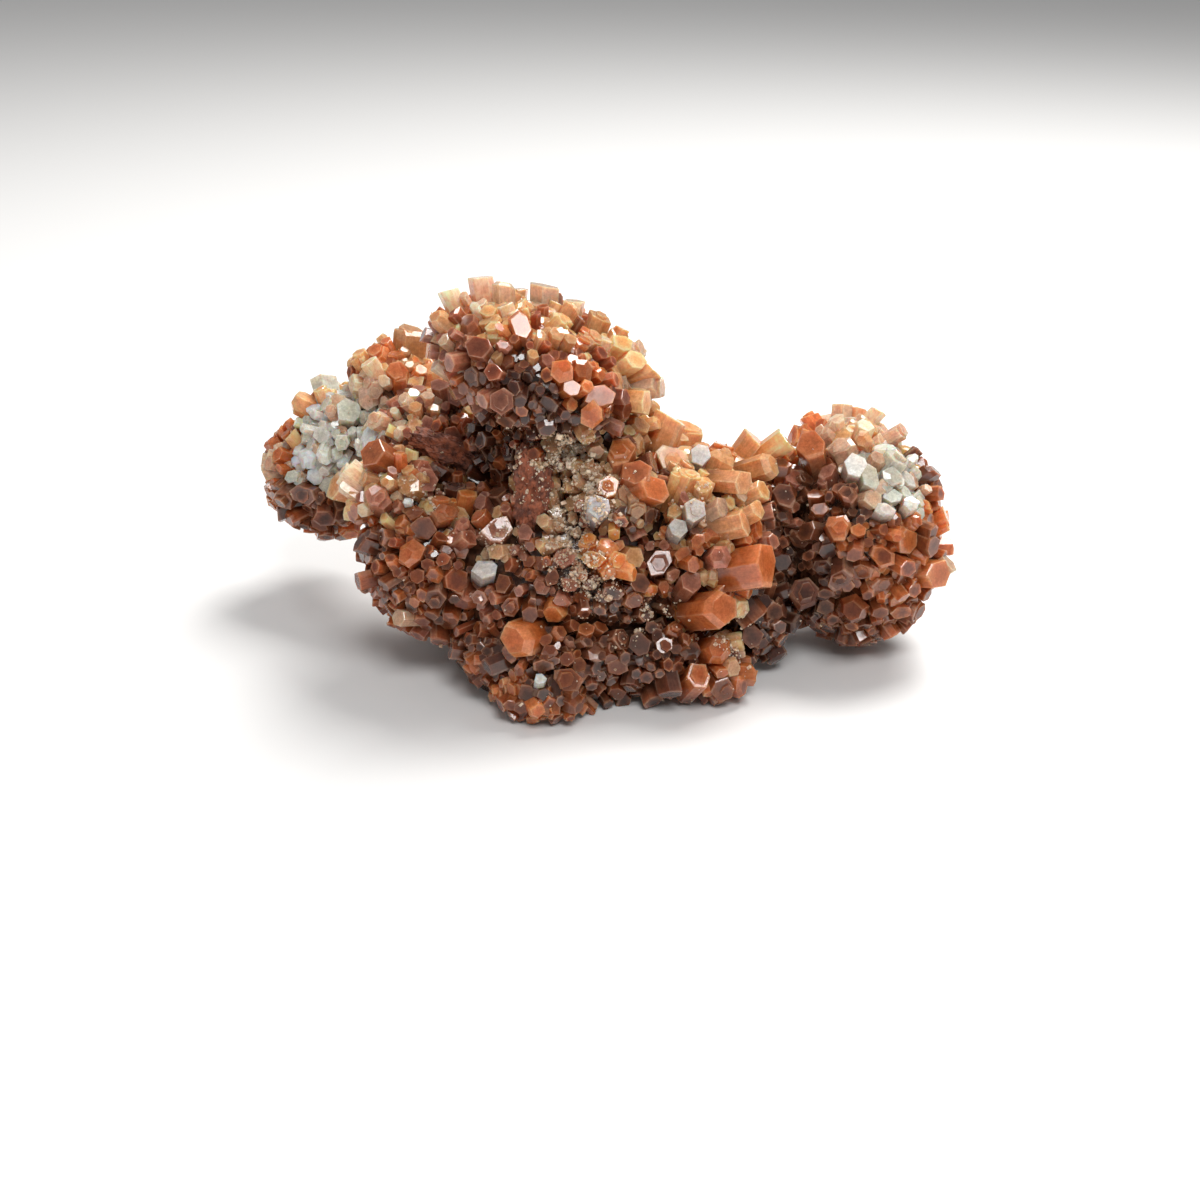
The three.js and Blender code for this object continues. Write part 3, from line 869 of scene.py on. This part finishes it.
def combine(target, mesh, operation):
    """Joins a mesh to the target object, or cuts it away."""
    tool = bpy.data.objects.new("tool", mesh)
    bpy.context.collection.objects.link(tool)
    step = target.modifiers.new("step", "BOOLEAN")
    step.operation = operation
    step.solver = "MANIFOLD"
    step.object = tool
    bpy.context.view_layer.update()
    graph = bpy.context.evaluated_depsgraph_get()
    result = bpy.data.meshes.new_from_object(target.evaluated_get(graph))
    target.modifiers.clear()
    old = target.data
    target.data = result
    bpy.data.meshes.remove(old)
    bpy.data.objects.remove(tool)
    bpy.data.meshes.remove(mesh)


def ground_mesh():
    """All that lies below the surface it rests on."""
    block = bmesh.new()
    bmesh.ops.create_cube(block, size=4 * CLUSTER_WIDTH)
    bmesh.ops.translate(block, verts=block.verts, vec=(0, 0, -2 * CLUSTER_WIDTH))
    mesh = bpy.data.meshes.new("ground")
    block.to_mesh(mesh)
    block.free()
    return mesh


def crystal_piece(name, members, prisms, crystals):
    """One region of the cluster as one closed mesh, in metres."""
    own = [lobe for lobe in lobes if lobe.name in members]
    piece = bpy.data.objects.new(name, lobe_mesh(own[0]))
    bpy.context.collection.objects.link(piece)
    for lobe in own[1:]:
        combine(piece, lobe_mesh(lobe), "UNION")
    for group in disjoint_sets(prisms):
        combine(piece, prism_mesh("prisms", group, crystals), "UNION")
    combine(piece, ground_mesh(), "DIFFERENCE")
    mesh = piece.data
    points = np.empty(len(mesh.vertices) * 3, np.float32)
    mesh.vertices.foreach_get("co", points)
    mesh.vertices.foreach_set("co", points * MM)
    mesh.update()
    mesh.shade_flat()
    return piece


class Shade:
    """Short calls for the arithmetic of a material."""

    def __init__(self, tree):
        self.tree = tree

    def place(self):
        """The shaded point, in the object's own metres."""
        return self.tree.nodes.new("ShaderNodeTexCoord").outputs["Object"]

    def feed(self, made, slot, value):
        """Links a socket or sets a number."""
        if isinstance(value, bpy.types.NodeSocket):
            self.tree.links.new(value, made.inputs[slot])
        else:
            made.inputs[slot].default_value = value

    def math(self, operation, *values):
        """One sum of numbers."""
        made = self.tree.nodes.new("ShaderNodeMath")
        made.operation = operation
        for slot, value in enumerate(values):
            self.feed(made, slot, value)
        return made.outputs[0]

    def vector(self, operation, *values):
        """One sum of vectors."""
        made = self.tree.nodes.new("ShaderNodeVectorMath")
        made.operation = operation
        for slot, value in enumerate(values):
            self.feed(made, slot, value)
        return made.outputs["Value"] if operation in ("DOT_PRODUCT", "LENGTH") else made.outputs[0]

    def scaled(self, vector, factor):
        """The vector times a number."""
        made = self.tree.nodes.new("ShaderNodeVectorMath")
        made.operation = "SCALE"
        self.feed(made, 0, vector)
        self.feed(made, "Scale", factor)
        return made.outputs[0]

    def ramp(self, value, low, high, start=0.0, end=1.0):
        """A smooth change from start to end as the value goes from low to high."""
        made = self.tree.nodes.new("ShaderNodeMapRange")
        made.interpolation_type = "SMOOTHSTEP"
        for slot, number in enumerate((value, low, high, start, end)):
            self.feed(made, slot, number)
        return made.outputs[0]

    def mix(self, factor, first, second, blend="MIX"):
        """Two colours mixed."""
        made = self.tree.nodes.new("ShaderNodeMix")
        made.data_type = "RGBA"
        made.blend_type = blend
        self.feed(made, 0, factor)
        self.feed(made, 6, first)
        self.feed(made, 7, second)
        return made.outputs[2]

    def attribute(self, name):
        """What the face knows under a name."""
        made = self.tree.nodes.new("ShaderNodeAttribute")
        made.attribute_type = "GEOMETRY"
        made.attribute_name = name
        return made.outputs["Vector"]

    def noise(self, vector, scale, detail=2.0, roughness=0.5):
        """A soft noise, mostly from 0.25 to 0.75."""
        made = self.tree.nodes.new("ShaderNodeTexNoise")
        self.feed(made, "Vector", vector)
        made.inputs["Scale"].default_value = scale
        made.inputs["Detail"].default_value = detail
        made.inputs["Roughness"].default_value = roughness
        return made.outputs["Fac"]

    def dimmed(self, colour, factor):
        """The colour times a number."""
        grey = self.tree.nodes.new("ShaderNodeCombineXYZ")
        for slot in range(3):
            self.feed(grey, slot, factor)
        return self.mix(1.0, colour, grey.outputs[0], "MULTIPLY")

    def bump(self, height, strength, distance):
        """A normal that follows a height."""
        made = self.tree.nodes.new("ShaderNodeBump")
        made.inputs["Strength"].default_value = strength
        made.inputs["Distance"].default_value = distance
        self.feed(made, "Height", height)
        return made.outputs[0]


class CrystalPlace:
    """Where a point lies on its crystal, in millimetres, as sockets of the material."""

    def __init__(self, shade):
        tree = shade.tree
        self.place = shade.place()
        normal = tree.nodes.new("ShaderNodeNewGeometry").outputs["True Normal"]
        tip, axis, side = (shade.attribute(name) for name in ("tip", "axis", "side"))
        facts = shade.attribute("facts")
        split = tree.nodes.new("ShaderNodeSeparateXYZ")
        shade.feed(split, 0, facts)
        self.half, self.mood, self.is_crystal = split.outputs
        from_tip = shade.scaled(shade.vector("SUBTRACT", self.place, tip), 1 / MM)
        self.along = shade.vector("DOT_PRODUCT", from_tip, axis)
        self.depth = shade.math("MULTIPLY", self.along, -1.0)
        self.axis = axis
        self.radial = shade.vector("SUBTRACT", from_tip, shade.scaled(axis, self.along))
        self.seed = shade.vector("ADD", from_tip, shade.scaled(facts, SEED_SHIFT))
        self.on_end = shade.ramp(shade.vector("DOT_PRODUCT", normal, axis), *FACES_ALONG)
        self.on_side = shade.math("SUBTRACT", 1.0, self.on_end)
        inner = shade.math("MAXIMUM", self.half, LEAST_HALF)
        self.from_axis = shade.math("DIVIDE", shade.vector("LENGTH", self.radial), inner)
        back = shade.vector("CROSS_PRODUCT", axis, side)
        self.spread = self.hexagon_spread(shade, side, back, inner)

    def hexagon_spread(self, shade, side, back, inner):
        """How far out a point lies between the axis, 0, and a side of the hexagon, 1."""
        x = shade.vector("DOT_PRODUCT", self.radial, side)
        y = shade.vector("DOT_PRODUCT", self.radial, back)
        faces = []
        for turn in (math.pi / 6, math.pi / 2, 5 * math.pi / 6):
            part = shade.math("ADD", shade.math("MULTIPLY", x, math.cos(turn)),
                              shade.math("MULTIPLY", y, math.sin(turn)))
            faces.append(shade.math("ABSOLUTE", part))
        widest = shade.math("MAXIMUM", shade.math("MAXIMUM", faces[0], faces[1]), faces[2])
        return shade.math("DIVIDE", widest, shade.math("MULTIPLY", inner, SIDE_SHARE))


def zoned_colour(shade, spot, cloud, rim):
    """The darker core and the lighter rim, soft and uneven, and more marked on some crystals: partly the
    crystals' own zoning, partly painted light piped through the thin rims and ends.
    """
    waver = shade.math("MULTIPLY", shade.math("SUBTRACT", cloud, 0.5), ZONE_WAVER)
    cap_rim = shade.ramp(shade.math("ADD", spot.spread, waver), *CAP_ZONE)
    side_rim = shade.math("MULTIPLY", shade.ramp(spot.depth, *SIDE_ZONE),
                          shade.ramp(cloud, *MIDDLE, *SIDE_CLOUD))
    inside = shade.math("ADD", shade.math("MULTIPLY", cap_rim, spot.on_end),
                        shade.math("MULTIPLY", side_rim, spot.on_side))
    marked = shade.math("MULTIPLY_ADD", spot.mood, *MARKED)
    plain = shade.math("MULTIPLY", shade.math("SUBTRACT", 1.0, marked), PLAIN_RIM)
    return shade.mix(shade.math("MULTIPLY_ADD", inside, marked, plain), shade.attribute("core"), rim)


def painted_edge_light(shade, spot, colour, rim):
    """The colour with painted highlights along the thin edges, where edges catch the light and let it
    through.
    """
    cap_edge = shade.math("MULTIPLY", shade.ramp(spot.spread, *CAP_EDGE_LIGHT), spot.on_end)
    side_edge = shade.math("MULTIPLY", shade.ramp(spot.from_axis, *SIDE_EDGE_LIGHT), spot.on_side)
    top_edge = shade.math("MULTIPLY", shade.ramp(spot.depth, *TOP_EDGE_LIGHT), spot.on_side)
    edge_light = shade.math("MAXIMUM", shade.math("MAXIMUM", cap_edge, side_edge), top_edge)
    lighter = shade.mix(EDGE_LIGHT_PALENESS, rim, EDGE_LIGHT_COLOUR)
    return shade.mix(shade.math("MULTIPLY", edge_light, EDGE_LIGHT_STRENGTH), colour, lighter)


def painted_root_shade(shade, spot, colour):
    """The colour with painted shade towards the root, and the near-black painted shade of the mass where
    there is no crystal.
    """
    start = shade.math("MULTIPLY_ADD", spot.half, *ROOT_SHADE_START)
    end = shade.math("MULTIPLY_ADD", spot.half, *ROOT_SHADE_END)
    root_shade = shade.ramp(spot.depth, start, end)
    colour = shade.mix(shade.math("MULTIPLY", root_shade, ROOT_SHADE_STRENGTH), colour, ROOT_SHADE_COLOUR)
    # Painted shade: the mass where there is no crystal is near black
    grain = shade.ramp(shade.noise(spot.place, *MASS_NOISE), *MASS_GRAIN)
    return shade.mix(spot.is_crystal, shade.mix(grain, *GAP_SHADE_COLOURS), colour)


def aragonite_material():
    """Honey to red-brown translucent crystal: darker cores, lighter edges with painted highlights,
    painted shade towards the roots and in the gaps, fine growth lines.
    """
    material = bpy.data.materials.new("aragonite")
    material.use_nodes = True
    tree = material.node_tree
    tree.nodes.clear()
    shade = Shade(tree)
    spot = CrystalPlace(shade)
    rim = shade.attribute("rim")
    cloud = shade.noise(spot.seed, *CLOUD_NOISE)
    fine = shade.noise(spot.seed, *FINE_NOISE)
    lumps = shade.noise(spot.seed, *LUMP_NOISE)
    lengthwise = shade.scaled(spot.axis, shade.math("MULTIPLY", spot.along, LINES_ALONG))
    crosswise = shade.scaled(spot.radial, LINES_ACROSS)
    lines = shade.noise(shade.vector("ADD", crosswise, lengthwise), *LINE_NOISE)
    colour = zoned_colour(shade, spot, cloud, rim)
    # Painted highlights along the thin edges
    colour = painted_edge_light(shade, spot, colour, rim)
    streak = shade.ramp(lines, *MIDDLE, *STREAK)
    veil = shade.ramp(shade.noise(spot.seed, *VEIL_NOISE), *MIDDLE, *VEIL)
    mood = shade.math("MULTIPLY_ADD", spot.mood, *MOOD)
    colour = shade.dimmed(colour, shade.math("MULTIPLY", mood, shade.math("MULTIPLY", streak, veil)))
    colour = shade.dimmed(colour, shade.ramp(fine, *BLOTCH_SPAN, *BLOTCH))
    # Painted shade towards the roots and in the gaps
    colour = painted_root_shade(shade, spot, colour)
    height = shade.math("ADD", shade.math("MULTIPLY", lines, LINES_HEIGHT),
                        shade.math("MULTIPLY", lumps, LUMPS_HEIGHT))
    skin = tree.nodes.new("ShaderNodeBsdfPrincipled")
    shade.feed(skin, "Base Color", colour)
    shade.feed(skin, "Roughness", shade.ramp(fine, *SHINE_SPAN, *CRYSTAL_ROUGHNESS))
    shade.feed(skin, "Normal", shade.bump(height, *CRYSTAL_BUMP))
    skin.inputs["IOR"].default_value = CRYSTAL_IOR
    skin.inputs["Subsurface Weight"].default_value = CRYSTAL_GLOW_SHARE
    skin.inputs["Subsurface Radius"].default_value = CRYSTAL_GLOW
    skin.inputs["Subsurface Scale"].default_value = CRYSTAL_GLOW_DEPTH
    skin.inputs["Transmission Weight"].default_value = CRYSTAL_CLEARNESS
    out = tree.nodes.new("ShaderNodeOutputMaterial")
    tree.links.new(skin.outputs[0], out.inputs["Surface"])
    return material


def new_material(name):
    """A material, its arithmetic and its shader."""
    material = bpy.data.materials.new(name)
    material.use_nodes = True
    tree = material.node_tree
    return material, Shade(tree), tree.nodes["Principled BSDF"]


def iron_material():
    """Dull dark red clay, blotched and grainy."""
    material, shade, skin = new_material("iron")
    place = shade.place()
    blotch = shade.ramp(shade.noise(place, *IRON_NOISE), *IRON_BLOTCH)
    shine = shade.noise(place, *IRON_SHINE_NOISE)
    shade.feed(skin, "Base Color", shade.mix(blotch, *IRON_COLOURS))
    shade.feed(skin, "Roughness", shade.ramp(shine, *MIDDLE, *IRON_ROUGHNESS))
    shade.feed(skin, "Normal", shade.bump(shade.noise(place, *IRON_BUMP_NOISE), *IRON_BUMP))
    return material


def sugar_material():
    """Pale sugary crust, a little darker in patches."""
    material, shade, skin = new_material("sugar")
    place = shade.place()
    speckle = shade.ramp(shade.noise(place, *SUGAR_NOISE), *SUGAR_SPECKLE)
    shine = shade.noise(place, *SUGAR_SHINE_NOISE)
    shade.feed(skin, "Base Color", shade.mix(speckle, *SUGAR_COLOURS))
    shade.feed(skin, "Roughness", shade.ramp(shine, *MIDDLE, *SUGAR_ROUGHNESS))
    skin.inputs["Subsurface Weight"].default_value = SUGAR_GLOW_SHARE
    skin.inputs["Subsurface Radius"].default_value = SUGAR_GLOW
    skin.inputs["Subsurface Scale"].default_value = SUGAR_GLOW_DEPTH
    return material


def floor_material():
    """A plain pale matt surface."""
    material, _, skin = new_material("floor")
    skin.inputs["Base Color"].default_value = FLOOR_COLOUR
    skin.inputs["Roughness"].default_value = FLOOR_ROUGHNESS
    return material


def add_floor():
    """A wide floor just under the cluster."""
    bpy.ops.mesh.primitive_plane_add(size=FLOOR_SIZE, location=(0, 0, -FLOOR_GAP))
    floor = bpy.context.object
    floor.name = "floor"
    floor.data.materials.append(floor_material())


def add_light(name, place, size, power, colour):
    """A soft square light that looks at the cluster."""
    lamp = bpy.data.lights.new(name, "AREA")
    lamp.shape = "SQUARE"
    lamp.size = size
    lamp.energy = power
    lamp.color = colour
    holder = bpy.data.objects.new(name, lamp)
    holder.location = place
    holder.rotation_mode = "QUATERNION"
    holder.rotation_quaternion = (Vector(LIGHT_TARGET) - Vector(place)).to_track_quat("-Z", "Y")
    bpy.context.collection.objects.link(holder)


def add_lights():
    """Plain soft studio light: a big one behind and above on the right, a weak one in front."""
    add_light("key", *KEY_LIGHT)
    add_light("fill", *FILL_LIGHT)
    world = bpy.data.worlds.new("studio")
    world.use_nodes = True
    background = world.node_tree.nodes["Background"]
    background.inputs["Color"].default_value = WORLD_COLOUR
    background.inputs["Strength"].default_value = WORLD_STRENGTH
    bpy.context.scene.world = world
    bpy.context.scene.view_settings.view_transform = "Standard"


def add_camera():
    """The photograph's camera."""
    data = bpy.data.cameras.new("camera")
    data.sensor_width = SENSOR_WIDTH
    data.lens = FOCAL_PIXELS / IMAGE_WIDTH * SENSOR_WIDTH
    data.clip_start, data.clip_end = CLIP_RANGE
    camera = bpy.data.objects.new("camera", data)
    right, up, forward, place = camera_axes()
    turn = np.stack([right, up, -forward], axis=1)
    camera.matrix_world = Matrix(turn.tolist()).to_4x4()
    camera.location = place * MM
    bpy.context.collection.objects.link(camera)
    bpy.context.scene.camera = camera


def iron_lump(number, middle, reach, lean, points, faces):
    """Adds one ragged ball to the points and faces."""
    right, up, forward, _ = camera_axes()
    large, small = IRON_RAGGED
    scale, fine_scale = IRON_SCALES
    apart = Vector((number * IRON_APART[0], IRON_APART[1], IRON_APART[2]))
    turn = math.radians(lean)
    ball = bmesh.new()
    bmesh.ops.create_icosphere(ball, subdivisions=IRON_STEPS, radius=1.0)
    first = len(points)
    for vertex in ball.verts:
        spot = vertex.co * scale + apart
        ragged = 1 + large * noise.fractal(spot, *IRON_FRACTAL) + small * noise.noise(spot * fine_scale)
        x, y, z = np.array(vertex.co) * reach * UNIT * ragged
        leant_x = x * math.cos(turn) + z * math.sin(turn)
        leant_z = z * math.cos(turn) - x * math.sin(turn)
        points.append((middle + right * leant_x - forward * y + up * leant_z) * MM)
    faces += [[first + vertex.index for vertex in reversed(face.verts)] for face in ball.faces]
    ball.free()


def iron_piece():
    """Ragged dark red lumps between the crystals, as one mesh."""
    forward = camera_axes()[2]
    points, faces = [], []
    for number, (pixel, reach, lean) in enumerate(IRON_LUMPS):
        middle = nearest_surface(pixel)[0] + forward * reach[1] * IRON_SINK * UNIT
        iron_lump(number, middle, reach, lean, points, faces)
    return plain_piece("iron_stain", [tuple(point) for point in points], faces, iron_material())


def plain_piece(name, points, faces, material):
    """One mesh from points in metres and faces, with its material."""
    mesh = bpy.data.meshes.new(name)
    mesh.from_pydata(points, [], faces)
    mesh.update()
    piece = bpy.data.objects.new(name, mesh)
    bpy.context.collection.objects.link(piece)
    piece.data.materials.append(material)
    return piece


def sugar_spots():
    """Places and sizes of the grains: thick on the crusts, thin everywhere else."""
    rows = []
    for pixel, radius, number in CRUSTS:
        middle, _ = nearest_surface(pixel)
        for _ in range(number // GRAINS_IN_CLUMP):
            clump = middle + rng.normal(0, CLUMP_SCATTER, 3) * radius * UNIT
            for _ in range(GRAINS_IN_CLUMP):
                rows.append((clump + rng.normal(0, CLUMP_SPREAD, 3), CRUST_GRAIN))
    for lobe in lobes:
        for direction in golden_directions(LONE_GRAINS):
            rows.append((lobe.surface(direction[None], 0)[0], LONE_GRAIN))
    return rows


def grain_corners(middle, size):
    """The eight corners of one tiny uneven block."""
    turn = np.stack([unit(rng.normal(0, 1, 3)) for _ in range(3)])
    axes = np.linalg.qr(turn)[0]
    signs = np.array([(x, y, z) for x in (-1, 1) for y in (-1, 1) for z in (-1, 1)], float)
    reach = size * rng.uniform(*GRAIN_REACH, 3)
    return middle + (signs * reach * rng.uniform(*GRAIN_UNEVEN, (8, 1))) @ axes


def surface_hit(trees, place):
    """Where the crystals' surface is on the way out of the lobe through a place, and its normal."""
    lobe = min(lobes, key=lambda candidate: candidate.level(place))
    outward = lobe_axis(lobe, place)
    start = Vector((place + outward * RAY_START) * MM)
    hits = [tree.ray_cast(start, Vector(-outward), RAY_LENGTH * MM) for tree in trees]
    hits = [hit for hit in hits if hit[0] is not None]
    if not hits:
        return None
    nearest = min(hits, key=lambda hit: hit[3])
    return np.array(nearest[0]) / MM, np.array(nearest[1])


def sugar_piece(pieces):
    """Tiny pale grains stuck on the crystals, as one mesh."""
    graph = bpy.context.evaluated_depsgraph_get()
    trees = [BVHTree.FromObject(piece, graph) for piece in pieces]
    corners = []
    for place, size in sugar_spots():
        hit = surface_hit(trees, place)
        if hit is None or hit[0][2] < LOWEST:
            continue
        spot, normal = hit
        grain = size * rng.lognormal(0, GRAIN_SPREAD) * UNIT
        corners.append(grain_corners(spot + normal * grain * GRAIN_SINK, grain))
    quads = [(0, 1, 3, 2), (4, 6, 7, 5), (0, 4, 5, 1), (2, 3, 7, 6), (0, 2, 6, 4), (1, 5, 7, 3)]
    faces = (np.array(quads)[None] + 8 * np.arange(len(corners))[:, None, None]).reshape(-1, 4)
    points = (np.concatenate(corners) * MM).tolist()
    return plain_piece("sugar_grains", points, faces.tolist(), sugar_material())


# The pieces, each made of some of the lobes
REGIONS = {
    "crystals_middle": ("heart", "base", "left_spray", "right_spray", "low_spray", "low_middle",
                        "left_foot", "right_foot", "saddle", "saddle_end", "back_spray"),
    "crystals_crown": ("crown", "crown_neck", "neck_back", "neck_front"),
    "crystals_left": ("left_neck", "left_ball", "left_middle", "left_top", "shoulder"),
    "crystals_right": ("right_neck", "low_neck", "right_ball", "right_top"),
}


def make_cluster():
    """The crystals, as one closed mesh for each region, then the clay and the sugary grains."""
    rows = feature_crystals()
    rows += scatter_crystals(rows)
    patches = patch_centres()
    crystals, prisms = [], {region: [] for region in REGIONS}
    for number, (tip, axis, width, owner, colour) in enumerate(rows):
        rim, core = COLOURS[colour or colour_name(tip, axis, owner, patches)]
        shift = rng.normal(1, BRIGHTNESS_SPREAD) * rng.normal(1, HUE_SPREAD, 3)
        crystals.append({"rim": np.array(rim) * shift, "core": np.array(core) * shift,
                         "mood": rng.random()})
        region = next(name for name, members in REGIONS.items() if lobes[owner].name in members)
        prisms[region] += grow(tip, axis, width, number, colour is None)
    material = aragonite_material()
    pieces = []
    for name, members in REGIONS.items():
        piece = crystal_piece(name, members, prisms[name], crystals)
        piece.data.materials.clear()
        piece.data.materials.append(material)
        pieces.append(piece)
    pieces.append(iron_piece())
    pieces.append(sugar_piece(pieces))
    for piece in pieces:
        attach(piece, "root")
        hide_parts("crystal_cluster")


add_camera()
add_floor()
add_lights()
make_cluster()
